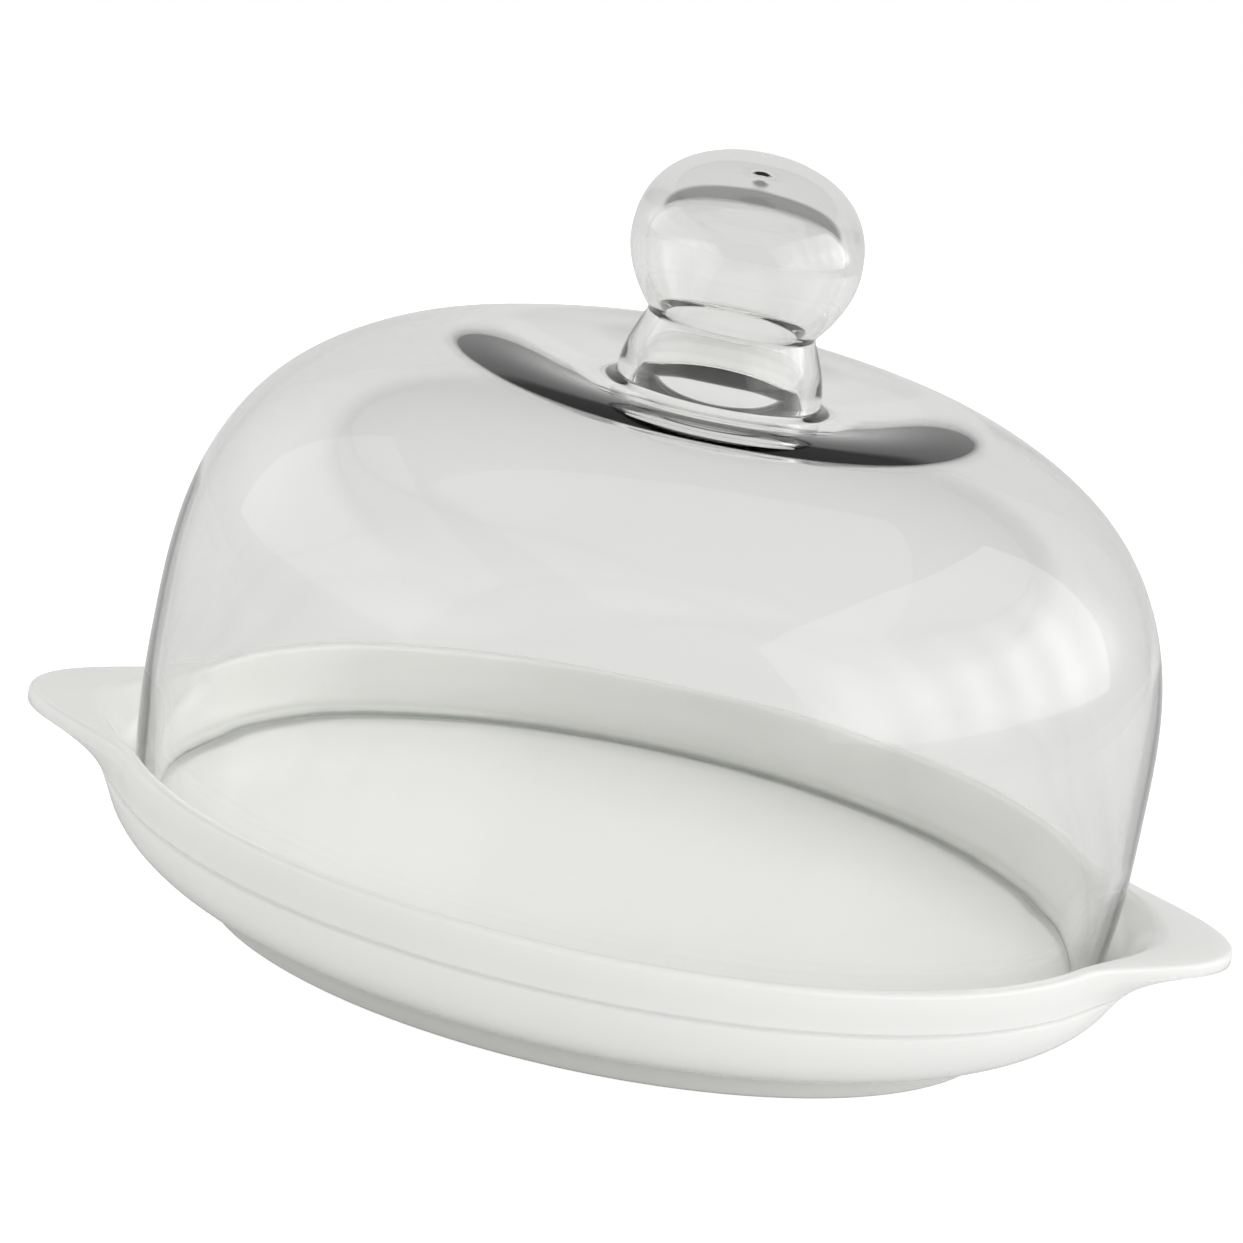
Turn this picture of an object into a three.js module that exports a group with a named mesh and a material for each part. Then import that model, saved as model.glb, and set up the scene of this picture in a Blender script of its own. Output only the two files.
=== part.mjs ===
// Cake dome for the table: a round porcelain serving dish with two ear handles, and a clear glass
// dome that stands inside the dish and is lifted by the hollow glass knob on its crown.
// Millimetres, +Z up. The origin is on the table, under the centre of the dish, with the ears along X.

import * as THREE from 'three';
import { mergeVertices } from 'three/addons/utils/BufferGeometryUtils.js';

// Glass dome
const DOME_BASE_RADIUS = 87.6; // outside of the bottom edge
const DOME_BELLY_SWELL = 2.1; // how far the widest ring stands out past the bottom edge
const DOME_BELLY_HEIGHT = 30; // widest ring above the bottom edge
const DOME_HEIGHT = 96.8; // bottom edge to the top of the shoulder curve
const SHOULDER_FULLNESS = 2.9; // exponent of the shoulder curve, 2 is a plain ellipse
const CROWN_DIP = 5.6; // how far the crown sinks in under the knob
const CROWN_DIP_RADIUS = 46; // where the sinking starts
const GLASS_WALL = 3.6; // side wall
const CROWN_THICKNESS = 6; // glass at the knob's foot
const CROWN_THICKENING_RADIUS = 48; // where the wall starts to grow thicker towards the knob
const BASE_EDGE_ROUND = 1.2; // melted rounding of the bottom edge

// Glass knob
const KNOB_RADIUS = 20.6;
const KNOB_EQUATOR_HEIGHT = 25.7; // widest ring above the seat
const KNOB_TOP_RISE = 17; // top above the widest ring
const KNOB_TOP_FULLNESS = 2.3; // exponent of the flattened top, 2 is a plain ellipse
const KNOB_TOP_GLASS = 5.8; // glass between the air bubble and the top
const KNOB_WALL = 3.2; // glass of the hollow ball, neck and foot
const KNOB_UNDERSIDE_SWELL = 0.5; // curve handle below the widest ring, as a share of the drop to the neck
const KNOB_FOOT_RADIUS = 18.4; // drum-like foot on the crown
const NECK_RADIUS = 15;
const NECK_HEIGHT = 12.8; // narrowest ring above the seat
const NECK_SOFTNESS = 0.1; // curve handle above the neck, as a share of the rise to the widest ring
const FLARE_SOFTNESS = 0.3; // curve handle below the neck, as a share of the drop to the seat
const FOOT_SOFTNESS = 0.45; // curve handle above the seat, as a share of the rise to the neck

// Serving dish
const SEAT_CLEARANCE = 1.5; // ring gap between the dome's bottom edge and the wall of the dish
const DISH_HEIGHT = 27; // table to the lip
const FLOOR_HEIGHT = 14.5; // table to the floor that carries the dome
const FLOOR_THICKNESS = 6;
const WALL_FLARE = 1.3; // how far the inner wall leans out from the floor to the lip
const WALL_EASE = 0.3; // curve handle at each end of a leaning wall, as a share of its rise
const LIP_THICKNESS = 3;
const LIP_ROUND = 1.1;
const BAND_HEIGHT = 8; // upright band under the lip, ended by the groove
const BAND_TAPER = 0.6; // how far the band draws in from the lip to the groove
const GROOVE_WIDTH = 1.2;
const GROOVE_DEPTH = 0.35;
const BELLY_FULLNESS = 1.75; // exponent of the belly curve, 2 is a plain ellipse
const FOOT_RADIUS = 72.2; // outside of the foot ring
const FOOT_HEIGHT = 4.5; // table to the underside of the belly
const FOOT_WIDTH = 5;
const FOOT_DRAFT = 0.7; // how far each side of the foot ring leans towards the belly
const FOOT_ROUND = 0.6;

// Ears of the dish
const EAR_SPAN = 220; // tip to tip
const EAR_ROOT_WIDTH = 72; // across one ear where it leaves the lip
const EAR_THICKNESS = 2.6; // at the tip
const EAR_ROOT_DEPTH = 12; // lip down to where the underside of an ear runs out into the wall
const EAR_HOLLOWNESS = 2; // exponent of the underside's curve, 1 is a straight slope
const EAR_MOUTH = 7; // length of the curve from the inner wall onto an ear
const EAR_MOUTH_EASE = 3; // exponent of that curve, 1 is a straight slope

// Facets round each piece, and steps along a profile's curves
const DISH_FACETS = 96;
const DOME_FACETS = 56;
const KNOB_FACETS = 36;
const ROUND_STEPS = 2;
const BEND_STEPS = 3;
const CURVE_STEPS = 7;
const SHOULDER_STEPS = 13;

const RIGHT_ANGLE = 90;
const HALF_TURN = 180;
const PLAIN_ELLIPSE = 2;
const ROUNDING_ERROR = 1e-12;

// Places that follow from the sizes
const domeBellyRadius = DOME_BASE_RADIUS + DOME_BELLY_SWELL;
const domeBellyLevel = FLOOR_HEIGHT + DOME_BELLY_HEIGHT;
const domeRise = DOME_HEIGHT - DOME_BELLY_HEIGHT;
const seatShare = KNOB_FOOT_RADIUS / domeBellyRadius;
const seatHeight = domeBellyLevel + domeRise * heightShare(seatShare, SHOULDER_FULLNESS) - CROWN_DIP;
const knobEquator = seatHeight + KNOB_EQUATOR_HEIGHT;
const wallFootRadius = DOME_BASE_RADIUS + SEAT_CLEARANCE;
const lipInnerRadius = wallFootRadius + WALL_FLARE;
const lipRadius = lipInnerRadius + LIP_THICKNESS;
const bandRadius = lipRadius - BAND_TAPER;
const grooveLevel = DISH_HEIGHT - BAND_HEIGHT;
const recessCeiling = FLOOR_HEIGHT - FLOOR_THICKNESS;
const earReach = EAR_SPAN / 2 - lipRadius;
const earHalfAngle = Math.asin(EAR_ROOT_WIDTH / 2 / lipRadius);

const glass = { color: 0xe9eeea, roughness: 0.03, metalness: 0 };
const porcelain = { color: 0xefefec, roughness: 0.16, metalness: 0 };

// Profiles are lists of points (x is the radius, y is the height above the table).

function point(radius, height) {
  return new THREE.Vector2(radius, height);
}

function signedPower(value, exponent) {
  return Math.abs(value) < ROUNDING_ERROR ? 0 : Math.sign(value) * Math.abs(value) ** exponent;
}

// Points on an arc of an ellipse, both ends included. Angles in degrees, 0 points outwards and 90 up.
function arc(centre, across, up, from, to, steps, fullness = PLAIN_ELLIPSE) {
  const power = PLAIN_ELLIPSE / fullness;
  return Array.from({ length: steps + 1 }, (_, i) => {
    const angle = THREE.MathUtils.degToRad(from + ((to - from) * i) / steps);
    const x = centre.x + across * signedPower(Math.cos(angle), power);
    return point(x, centre.y + up * signedPower(Math.sin(angle), power));
  });
}

// Points on a round edge or corner of one radius.
function round(centre, radius, from, to) {
  return arc(centre, radius, radius, from, to, ROUND_STEPS);
}

// Angle at which a full ellipse is as wide as share of its greatest width.
function angleAtWidth(share, fullness) {
  return THREE.MathUtils.radToDeg(Math.acos(share ** (fullness / PLAIN_ELLIPSE)));
}

// Height of a full ellipse, as a share of its rise, where it is as wide as share of its greatest width.
function heightShare(share, fullness) {
  return (1 - share ** fullness) ** (1 / fullness);
}

function bend(from, corner, to) {
  return new THREE.QuadraticBezierCurve(from, corner, to).getPoints(BEND_STEPS);
}

// Two bends in one, from an upright start to an upright end, with a share of the rise for each.
function upright(from, to, startShare, endShare, steps) {
  const rise = to.y - from.y;
  const start = point(from.x, from.y + rise * startShare);
  const end = point(to.x, to.y - rise * endShare);
  return new THREE.CubicBezierCurve(from, start, end, to).getPoints(steps);
}

// The side of the knob at a depth in the glass, from its widest ring down past the neck to the seat.
function knobSide(depth) {
  const widest = point(KNOB_RADIUS - depth, knobEquator);
  const neck = point(NECK_RADIUS - depth, seatHeight + NECK_HEIGHT);
  const foot = point(KNOB_FOOT_RADIUS - depth, seatHeight);
  const ball = upright(widest, neck, KNOB_UNDERSIDE_SWELL, NECK_SOFTNESS, CURVE_STEPS);
  return [...ball, ...upright(neck, foot, FLARE_SOFTNESS, FOOT_SOFTNESS, CURVE_STEPS).slice(1)];
}

// Glass of the dome at a radius, growing thicker towards the knob.
function domeGlass(radius) {
  const near = (CROWN_THICKENING_RADIUS - radius) / (CROWN_THICKENING_RADIUS - KNOB_FOOT_RADIUS);
  return THREE.MathUtils.lerp(GLASS_WALL, CROWN_THICKNESS, THREE.MathUtils.clamp(near, 0, 1));
}

// The inner face of the dome's wall behind its outer face, in the same order.
function innerFace(outer) {
  return outer.map((p, i) => {
    const before = outer[Math.max(i - 1, 0)];
    const after = outer[Math.min(i + 1, outer.length - 1)];
    const inwards = point(after.y - before.y, before.x - after.x).normalize();
    return p.clone().addScaledVector(inwards, domeGlass(p.x));
  });
}

// The shoulder curve sunk in at the crown, flat across the knob's seat.
function sunken(profile) {
  return profile.map((p) => {
    const out = (p.x - KNOB_FOOT_RADIUS) / (CROWN_DIP_RADIUS - KNOB_FOOT_RADIUS);
    const fade = (1 + Math.cos(Math.PI * THREE.MathUtils.clamp(out, 0, 1))) / 2;
    return point(p.x, p.y - CROWN_DIP * fade);
  });
}

// A solid of revolution about Z, from a profile that runs outwards over the top and down the outside.
function revolve(profile, facets) {
  const geometry = new THREE.LatheGeometry(profile.toReversed(), facets);
  geometry.rotateX(Math.PI / 2);
  geometry.deleteAttribute('normal');
  geometry.deleteAttribute('uv');
  return geometry;
}

function piece(name, geometry, look) {
  const merged = mergeVertices(geometry);
  merged.computeVertexNormals();
  const mesh = new THREE.Mesh(merged, new THREE.MeshStandardMaterial(look));
  mesh.name = name;
  return mesh;
}

// Glass dome: full shoulder, walls drawn in a little at the bottom, melted bottom edge, and a crown
// that opens through a trumpet into the knob.
function glassDome() {
  const centre = point(0, domeBellyLevel);
  const edgeLevel = FLOOR_HEIGHT + BASE_EDGE_ROUND;
  const outerEdge = point(DOME_BASE_RADIUS - BASE_EDGE_ROUND, edgeLevel);
  const innerEdge = point(DOME_BASE_RADIUS - GLASS_WALL + BASE_EDGE_ROUND, edgeLevel);
  const seatAngle = angleAtWidth(seatShare, SHOULDER_FULLNESS);
  const shoulder = sunken(
    arc(centre, domeBellyRadius, domeRise, seatAngle, 0, SHOULDER_STEPS, SHOULDER_FULLNESS));
  const wall = bend(
    point(domeBellyRadius, domeBellyLevel),
    point(domeBellyRadius, (domeBellyLevel + edgeLevel) / 2),
    point(DOME_BASE_RADIUS, edgeLevel));
  const outside = [...shoulder, ...wall.slice(1)];
  const inside = innerFace(outside).reverse();
  const crown = inside.at(-1);
  const opening = point(KNOB_FOOT_RADIUS - KNOB_WALL, seatHeight);
  const trumpet = bend(crown, point(opening.x, crown.y), opening);

  const profile = [
    opening,
    ...outside,
    ...round(outerEdge, BASE_EDGE_ROUND, 0, -RIGHT_ANGLE).slice(1),
    ...round(innerEdge, BASE_EDGE_ROUND, -RIGHT_ANGLE, -HALF_TURN),
    ...inside.slice(1),
    ...trumpet.slice(1),
  ];
  return piece('glass_dome', revolve(profile, DOME_FACETS), glass);
}

// Glass knob: a flattened ball on a drawn-in neck and a drum-like foot, hollow and open to the dome below.
function glassKnob() {
  const centre = point(0, knobEquator);
  const bubbleRadius = KNOB_RADIUS - KNOB_WALL;
  const bubbleRise = KNOB_TOP_RISE - KNOB_TOP_GLASS;
  const top = arc(centre, KNOB_RADIUS, KNOB_TOP_RISE, RIGHT_ANGLE, 0, CURVE_STEPS, KNOB_TOP_FULLNESS);
  const bubbleTop = arc(centre, bubbleRadius, bubbleRise, 0, RIGHT_ANGLE, CURVE_STEPS, KNOB_TOP_FULLNESS);
  const profile = [
    ...top,
    ...knobSide(0).slice(1),
    ...knobSide(KNOB_WALL).reverse(),
    ...bubbleTop.slice(1),
  ];
  return piece('glass_knob', revolve(profile, KNOB_FACETS), glass);
}

// Reach of the ears past the lip, in a direction seen from above.
function earReachAt(angle) {
  const fromEar = Math.min(Math.abs(angle), Math.PI - Math.abs(angle));
  if (fromEar >= earHalfAngle) return 0;
  return (earReach * (1 + Math.cos((Math.PI * fromEar) / earHalfAngle))) / 2;
}

// Share of the ears' reach that the outer wall takes at a height: none below the ears, all at the tip.
function outerEarShare(height) {
  const climb = (height - DISH_HEIGHT + EAR_ROOT_DEPTH) / (EAR_ROOT_DEPTH - EAR_THICKNESS);
  return THREE.MathUtils.clamp(climb, 0, 1) ** EAR_HOLLOWNESS;
}

// Share of the ears' reach that the inner wall takes at a height, growing towards the lip.
function innerEarShare(height) {
  const climb = (height - FLOOR_HEIGHT) / (DISH_HEIGHT - FLOOR_HEIGHT);
  return (EAR_MOUTH / earReach) * climb ** EAR_MOUTH_EASE;
}

// Inside of the dish, from the middle of the floor up to the lip.
function dishInside() {
  const lipLevel = DISH_HEIGHT - LIP_ROUND;
  const corner = point(wallFootRadius - SEAT_CLEARANCE, FLOOR_HEIGHT + SEAT_CLEARANCE);
  const wallFoot = point(wallFootRadius, corner.y);
  const wallTop = point(lipInnerRadius, lipLevel);
  const lip = point(lipInnerRadius + LIP_ROUND, lipLevel);
  return [
    point(0, FLOOR_HEIGHT),
    ...round(corner, SEAT_CLEARANCE, -RIGHT_ANGLE, 0),
    ...upright(wallFoot, wallTop, WALL_EASE, WALL_EASE, BEND_STEPS).slice(1),
    ...round(lip, LIP_ROUND, HALF_TURN, RIGHT_ANGLE).slice(1),
  ];
}

// Outside of the dish, from the lip over band, groove and belly, round the foot ring to under the floor.
function dishOutside() {
  const lip = point(lipRadius - LIP_ROUND, DISH_HEIGHT - LIP_ROUND);
  const bandTop = point(lipRadius, DISH_HEIGHT - EAR_THICKNESS);
  const bandFoot = point(bandRadius, grooveLevel + GROOVE_WIDTH / 2);
  const bellyTop = grooveLevel - GROOVE_WIDTH / 2;
  const bellyFootRadius = FOOT_RADIUS + FOOT_DRAFT;
  const belly = arc(
    point(bellyFootRadius, bellyTop), bandRadius - bellyFootRadius, bellyTop - FOOT_HEIGHT,
    0, -RIGHT_ANGLE, CURVE_STEPS, BELLY_FULLNESS);
  const footInnerRadius = FOOT_RADIUS - FOOT_WIDTH;
  const footOuterEdge = point(FOOT_RADIUS - FOOT_ROUND, FOOT_ROUND);
  const footInnerEdge = point(footInnerRadius + FOOT_ROUND, FOOT_ROUND);
  return [
    ...round(lip, LIP_ROUND, RIGHT_ANGLE, 0),
    ...upright(bandTop, bandFoot, WALL_EASE, WALL_EASE, BEND_STEPS),
    point(bandRadius - GROOVE_DEPTH, grooveLevel),
    ...belly,
    ...round(footOuterEdge, FOOT_ROUND, 0, -RIGHT_ANGLE),
    ...round(footInnerEdge, FOOT_ROUND, -RIGHT_ANGLE, -HALF_TURN),
    point(footInnerRadius - FOOT_DRAFT, recessCeiling),
    point(0, recessCeiling),
  ];
}

// Serving dish: the profile turned once about the axis, with two ears pulled out of the wall on the way.
function servingDish() {
  const inside = dishInside();
  const outside = dishOutside();
  const insideShares = inside.map((p) => innerEarShare(p.y));
  const outsideShares = outside.map((p) => outerEarShare(p.y));
  const shares = [...insideShares, ...outsideShares].reverse();
  const geometry = revolve([...inside, ...outside], DISH_FACETS);
  const position = geometry.getAttribute('position');
  for (let i = 0; i < position.count; i += 1) {
    const radius = Math.hypot(position.getX(i), position.getY(i));
    const angle = Math.atan2(position.getY(i), position.getX(i));
    const pulled = radius + shares[i % shares.length] * earReachAt(angle);
    position.setXY(i, pulled * Math.cos(angle), pulled * Math.sin(angle));
  }
  return piece('serving_dish', geometry, porcelain);
}

const cover = new THREE.Group();
cover.name = 'cover';
cover.add(glassDome(), glassKnob());

const cakeDome = new THREE.Group();
cakeDome.name = 'cake_dome';
cakeDome.add(servingDish(), cover);

export default cakeDome;
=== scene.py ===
"""Cake dome: a porcelain serving dish with two ears under a blown glass cover with a knob."""

import math

import bpy
from bpy.props import FloatProperty, FloatVectorProperty, IntProperty, PointerProperty
from bpy.types import Operator, Panel, PropertyGroup
from mathutils import Matrix, Vector


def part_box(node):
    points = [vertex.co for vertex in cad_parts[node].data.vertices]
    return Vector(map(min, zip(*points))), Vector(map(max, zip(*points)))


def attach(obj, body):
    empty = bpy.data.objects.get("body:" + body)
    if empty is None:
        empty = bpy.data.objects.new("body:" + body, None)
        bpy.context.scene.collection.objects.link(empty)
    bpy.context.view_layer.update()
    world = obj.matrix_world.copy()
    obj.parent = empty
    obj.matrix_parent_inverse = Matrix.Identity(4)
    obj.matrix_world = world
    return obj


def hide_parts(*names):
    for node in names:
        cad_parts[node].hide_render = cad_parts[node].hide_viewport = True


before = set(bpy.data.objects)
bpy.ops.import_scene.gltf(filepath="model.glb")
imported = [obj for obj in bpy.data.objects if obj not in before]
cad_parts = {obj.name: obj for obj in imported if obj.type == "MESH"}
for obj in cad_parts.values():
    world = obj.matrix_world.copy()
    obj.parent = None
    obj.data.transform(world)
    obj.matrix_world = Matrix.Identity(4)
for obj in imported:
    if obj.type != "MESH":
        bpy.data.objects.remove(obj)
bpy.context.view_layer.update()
DISH_LOW, DISH_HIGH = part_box("serving_dish")
DOME_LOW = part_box("glass_dome")[0]

bl_info = {
    "name": "Cake Dome",
    "version": (1, 0, 0),
    "blender": (4, 5, 0),
    "location": "3D View > Sidebar > Cake Dome",
    "description": "Builds a porcelain serving dish and its blown glass cover",
    "category": "Object",
}

MM = 0.001
TINY = 1e-12  # a sine or cosine below this is taken for nought
WELD = 1e-7  # points closer than this are one
PLAIN_ELLIPSE = 2.0

# Steps along the curves of the two profiles
FLOOR_STEPS = 24
CORNER_STEPS = 8
WALL_STEPS = 16
GROOVE_STEPS = 8
BELLY_STEPS = 28
FOOT_STEPS = 5
RECESS_STEPS = 12
KNOB_TOP_STEPS = 44
BALL_STEPS = 30
DRUM_STEPS = 18
SHOULDER_STEPS = 64
SIDE_STEPS = 20
RIM_STEPS = 6
THROAT_STEPS = 20
BUBBLE_STEPS = 30

# Curves of the dish's wall and ears
WALL_EASE = 0.3  # upright stretch at each end of a leaning wall, as a share of its rise
MOUTH_EASE = 3  # exponent of the curve from the inner wall onto an ear
EAR_HOLLOW = 2  # exponent of the curve under an ear

# Waves of the blown wall, which the bottom edge and the middle of the knob don't have
STILL_EDGE = 4.0 * MM
EDGE_FADE = 20.0 * MM
STILL_MIDDLE = 6.0 * MM
MIDDLE_FADE = 30.0 * MM
WAVE_DETAIL = 1.0
WAVE_SEED = 4.0
NO_EARS = {"Ear Reach": 0.0, "Ear Half Angle": 1.0}
NO_WAVES = {"Waviness": 0.0, "Wave Size": 1.0, "Seed": 0.0}

# Glaze: scales are per metre, and a pair is where a change starts and ends
CLOUD_SCALE, CLOUD_DETAIL = 18.0, 3.0
CLOUD_EDGE = (0.35, 0.75)
CLOUD_POOLING = 0.22
# The glaze is darker in and near the turned groove, outside the inner wall
GROOVE_CORE = 0.1 * MM
GROOVE_REACH = 0.7  # share of the groove's width at which the darkening ends
GROOVE_DARKENING = 0.55
# Painted light: from this height above the dish floor the inner wall takes a lighter colour than
# the outside
PAINTED_LIGHT_RISE = 3.0 * MM
SPECK_SCALE = 34.0
SPECK_EDGE = (0.006, 0.012)
SPECK_STRENGTH = 0.45
SPECK_COLOUR = (0.30, 0.28, 0.25)
BARE_EDGE = (0.25 * MM, 0.7 * MM)
BARE_ROUGHNESS = 0.75
GLAZE_ROUGHNESS, CLOUD_ROUGHNESS = 0.13, 0.06
GLAZE_IOR = 1.5
PEEL_SCALE, PEEL_DETAIL = 55.0, 1.0
PEEL_STRENGTH, PEEL_DEPTH = 0.05, 0.4 * MM
COAT, COAT_ROUGHNESS = 0.5, 0.05
LIGHT_REACH = 4.0 * MM
LIGHT_SPREAD = (1.0, 1.0, 0.95)

# Glass
RIPPLE_STRETCH = (1.0, 1.0, 0.35)
RIPPLE_SCALE, RIPPLE_DETAIL = 42.0, 1.5
RIPPLE_STRENGTH, RIPPLE_DEPTH = 0.03, 1.0 * MM
WIPE_SCALE, WIPE_DETAIL, WIPE_DISTORTION = 26.0, 5.0, 1.2
WIPE_EDGE = (0.5, 0.85)
WIPE_ROUGHNESS = 0.02
PAINTED_SHADOW_START, PAINTED_SHADOW_END = 0.3 * MM, 1.8 * MM  # heights over which the painted shadow along the bottom edge fades

# Room: directions are sines and cosines, and a pair is where a change starts and ends
SWEEP_FADE = 0.08
SHADE_FADE = 0.12
FRONT_EDGE = (0.0, 0.6)
PANEL_FOOT = (0.0, 0.22)
PANEL_TOP = (0.38, 0.75)
WINDOW_EDGE = (0.5, 0.85)
LEFT_EDGE = (0.45, 0.9)

# Soft boxes: name, setting of the brightness, place, aim, width and height
SOFT_BOXES = (
    ("ceiling_box", "ceiling", (0.1, -0.2, 1.9), (0.0, 0.0, 0.0), 2.4, 2.4),
    ("window_box", "window", (1.25, -0.15, 0.85), (0.0, -0.15, 0.2), 3.0, 1.5),
    ("left_box", "left_panel", (-1.5, -0.1, 0.85), (0.0, -0.1, 0.2), 2.4, 1.4),
)
TABLE_FACETS = 96
FILM_WIDTH = 36.0
CLIP_START, CLIP_END = 0.05, 50.0
WHITE = (1.0, 1.0, 1.0, 1.0)


def length(name, description, default):
    return FloatProperty(
        name=name, description=description, default=default, unit="LENGTH", precision=5
    )


def share(name, description, default):
    return FloatProperty(name=name, description=description, default=default, subtype="FACTOR")


def number(name, description, default):
    return FloatProperty(name=name, description=description, default=default)


def count(name, description, default):
    return IntProperty(name=name, description=description, default=default)


def angle(name, description, degrees):
    return FloatProperty(
        name=name, description=description, default=math.radians(degrees), subtype="ANGLE"
    )


def colour(name, description, default):
    return FloatVectorProperty(
        name=name,
        description=description,
        default=default,
        size=3,
        min=0.0,
        max=1.0,
        subtype="COLOR",
    )


class DishSettings(PropertyGroup):
    """Sizes and glaze of the serving dish."""

    height: length("Height", "Table to the lip", DISH_HIGH.z)
    floor_height: length("Floor Height", "Table to the floor that carries the cover", DOME_LOW.z)
    floor_thickness: length("Floor Thickness", "Porcelain under the cover", 6.0 * MM)
    lip_radius: length("Lip Radius", "Outside of the lip away from the ears", DISH_HIGH.y)
    lip_thickness: length("Lip Thickness", "Width of the lip", 3.0 * MM)
    lip_round: length("Lip Round", "Rounding of the lip's edges", 1.1 * MM)
    wall_flare: length("Wall Flare", "How far the inner wall leans out", 1.3 * MM)
    corner_round: length("Corner Round", "Rounding between the floor and the wall", 1.5 * MM)
    band_height: length("Band Height", "Upright band under the lip", 8.0 * MM)
    band_taper: length("Band Taper", "How far the band draws in towards the groove", 0.6 * MM)
    groove_width: length("Groove Width", "Height of the turned groove", 1.2 * MM)
    groove_depth: length("Groove Depth", "Depth of the turned groove", 0.35 * MM)
    belly_fullness: number("Belly Fullness", "Exponent of the belly, 2 is an ellipse", 1.75)
    foot_radius: length("Foot Radius", "Outside of the foot ring", 72.2 * MM)
    foot_height: length("Foot Height", "Table to the underside of the belly", 4.5 * MM)
    foot_width: length("Foot Width", "Width of the foot ring", 5.0 * MM)
    foot_draft: length("Foot Draft", "Lean of the foot ring's sides", 0.7 * MM)
    foot_round: length("Foot Round", "Rounding of the foot ring", 0.6 * MM)
    ear_span: length("Ear Span", "Tip to tip of the ears", DISH_HIGH.x - DISH_LOW.x)
    ear_width: length("Ear Width", "Across one ear where it leaves the lip", 72.0 * MM)
    ear_thickness: length("Ear Thickness", "Porcelain at an ear's tip", 2.6 * MM)
    ear_depth: length("Ear Depth", "Lip down to where an ear's underside runs out", 12.0 * MM)
    ear_mouth: length("Ear Mouth", "Length of the curve from the wall onto an ear", 7.0 * MM)
    facets: count("Facets", "Faces round the dish", 288)
    glaze: colour("Glaze", "Colour of the white glaze", (0.77, 0.77, 0.755))
    # Painted light: a lighter colour painted up the inner wall than the glaze outside
    inner_wall_painted_light: colour("Inner Painted Light", "Glaze up the inner wall", (0.95, 0.95, 0.935))
    # The darker colour of the glaze in its clouds and in the turned groove
    darker_glaze: colour("Darker Glaze", "Colour where the glaze runs thick", (0.70, 0.715, 0.70))
    translucency: share("Translucency", "How far light shines through thin porcelain", 0.6)
    bisque: colour("Bisque", "Colour of the bare foot ring", (0.62, 0.60, 0.56))


class CoverSettings(PropertyGroup):
    """Sizes and glass of the cover."""

    base_radius: length("Base Radius", "Outside of the bottom edge", 87.6 * MM)
    base_height: length("Base Height", "Table to the bottom edge", DOME_LOW.z)
    belly_swell: length("Belly Swell", "Widest ring past the bottom edge, outwards", 2.1 * MM)
    belly_height: length("Belly Height", "Widest ring above the bottom edge", 30.0 * MM)
    height: length("Height", "Bottom edge to the top of the shoulder curve", 96.8 * MM)
    fullness: number("Shoulder Fullness", "Exponent of the shoulder, 2 is an ellipse", 2.9)
    crown_dip: length("Crown Dip", "How far the crown sinks in under the knob", 5.6 * MM)
    dip_radius: length("Dip Radius", "Where the sinking starts", 46.0 * MM)
    wall: length("Wall", "Glass at the bottom edge", 3.2 * MM)
    thin_wall: length("Thin Wall", "Glass where the side wall is thinnest", 2.0 * MM)
    thin_height: length("Thin Height", "Thinnest ring above the bottom edge", 60.0 * MM)
    thin_radius: length("Thin Radius", "Where the shoulder starts to grow thicker", 80.0 * MM)
    shoulder_glass: length("Shoulder Glass", "Glass where the crown starts", 2.4 * MM)
    crown_glass: length("Crown Glass", "Glass at the knob's foot", 6.0 * MM)
    thick_radius: length("Thick Radius", "Where the crown starts to grow thicker", 48.0 * MM)
    edge_round: length("Edge Round", "Melted rounding of the bottom edge", 1.1 * MM)
    knob_radius: length("Knob Radius", "Widest ring of the knob", 20.6 * MM)
    knob_equator: length("Knob Equator", "Widest ring above the seat", 25.7 * MM)
    knob_rise: length("Knob Rise", "Top of the knob above its widest ring", 17.0 * MM)
    knob_fullness: number("Knob Fullness", "Exponent of the knob's top, 2 is an ellipse", 2.3)
    knob_swell: share("Knob Swell", "Fullness of the knob below its widest ring", 0.54)
    knob_foot: length("Knob Foot", "Radius of the knob's drum-like foot", 18.4 * MM)
    neck_radius: length("Neck Radius", "Narrowest ring of the knob", 15.0 * MM)
    neck_height: length("Neck Height", "Narrowest ring above the seat", 12.8 * MM)
    neck_soft: share("Neck Softness", "Length of the curve above the neck", 0.02)
    flare_start: share("Flare Start", "Length of the curve below the neck", 0.10)
    flare_end: share("Flare End", "Length of the curve down to the seat", 0.50)
    knob_wall: length("Knob Wall", "Glass of the hollow knob", 3.0 * MM)
    throat_start: length("Throat Start", "Where the crown's underside bends up", 26.5 * MM)
    throat_end: length("Throat End", "Where that bend ends, above the seat", 4.0 * MM)
    bubble_glass: length("Bubble Glass", "Glass over the bubble in the knob", 5.5 * MM)
    pontil: length("Pontil", "Depth of the mark on the top of the knob", 0.5 * MM)
    pontil_radius: length("Pontil Radius", "Reach of the mark on the top of the knob", 1.8 * MM)
    waviness: length("Waviness", "Hand-blown unevenness of the wall", 0.9 * MM)
    inner_wave: number("Inner Wave", "Waves of the inner face, share of the outer ones", -1.0)
    wave_size: length("Wave Size", "Distance from one wave to the next", 60.0 * MM)
    facets: count("Facets", "Faces round the cover", 256)
    tint: colour("Tint", "What one wall of glass lets through", (0.98, 0.98, 0.974))
    # Painted shadow: a dark grey-green colour along the bottom edge stands in for its contact
    # shadow and dark refraction
    edge_painted_shadow: colour("Edge Tint", "What the bottom edge lets through", (0.30, 0.33, 0.31))
    ior: number("IOR", "How strongly the glass bends light", 1.5)


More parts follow.
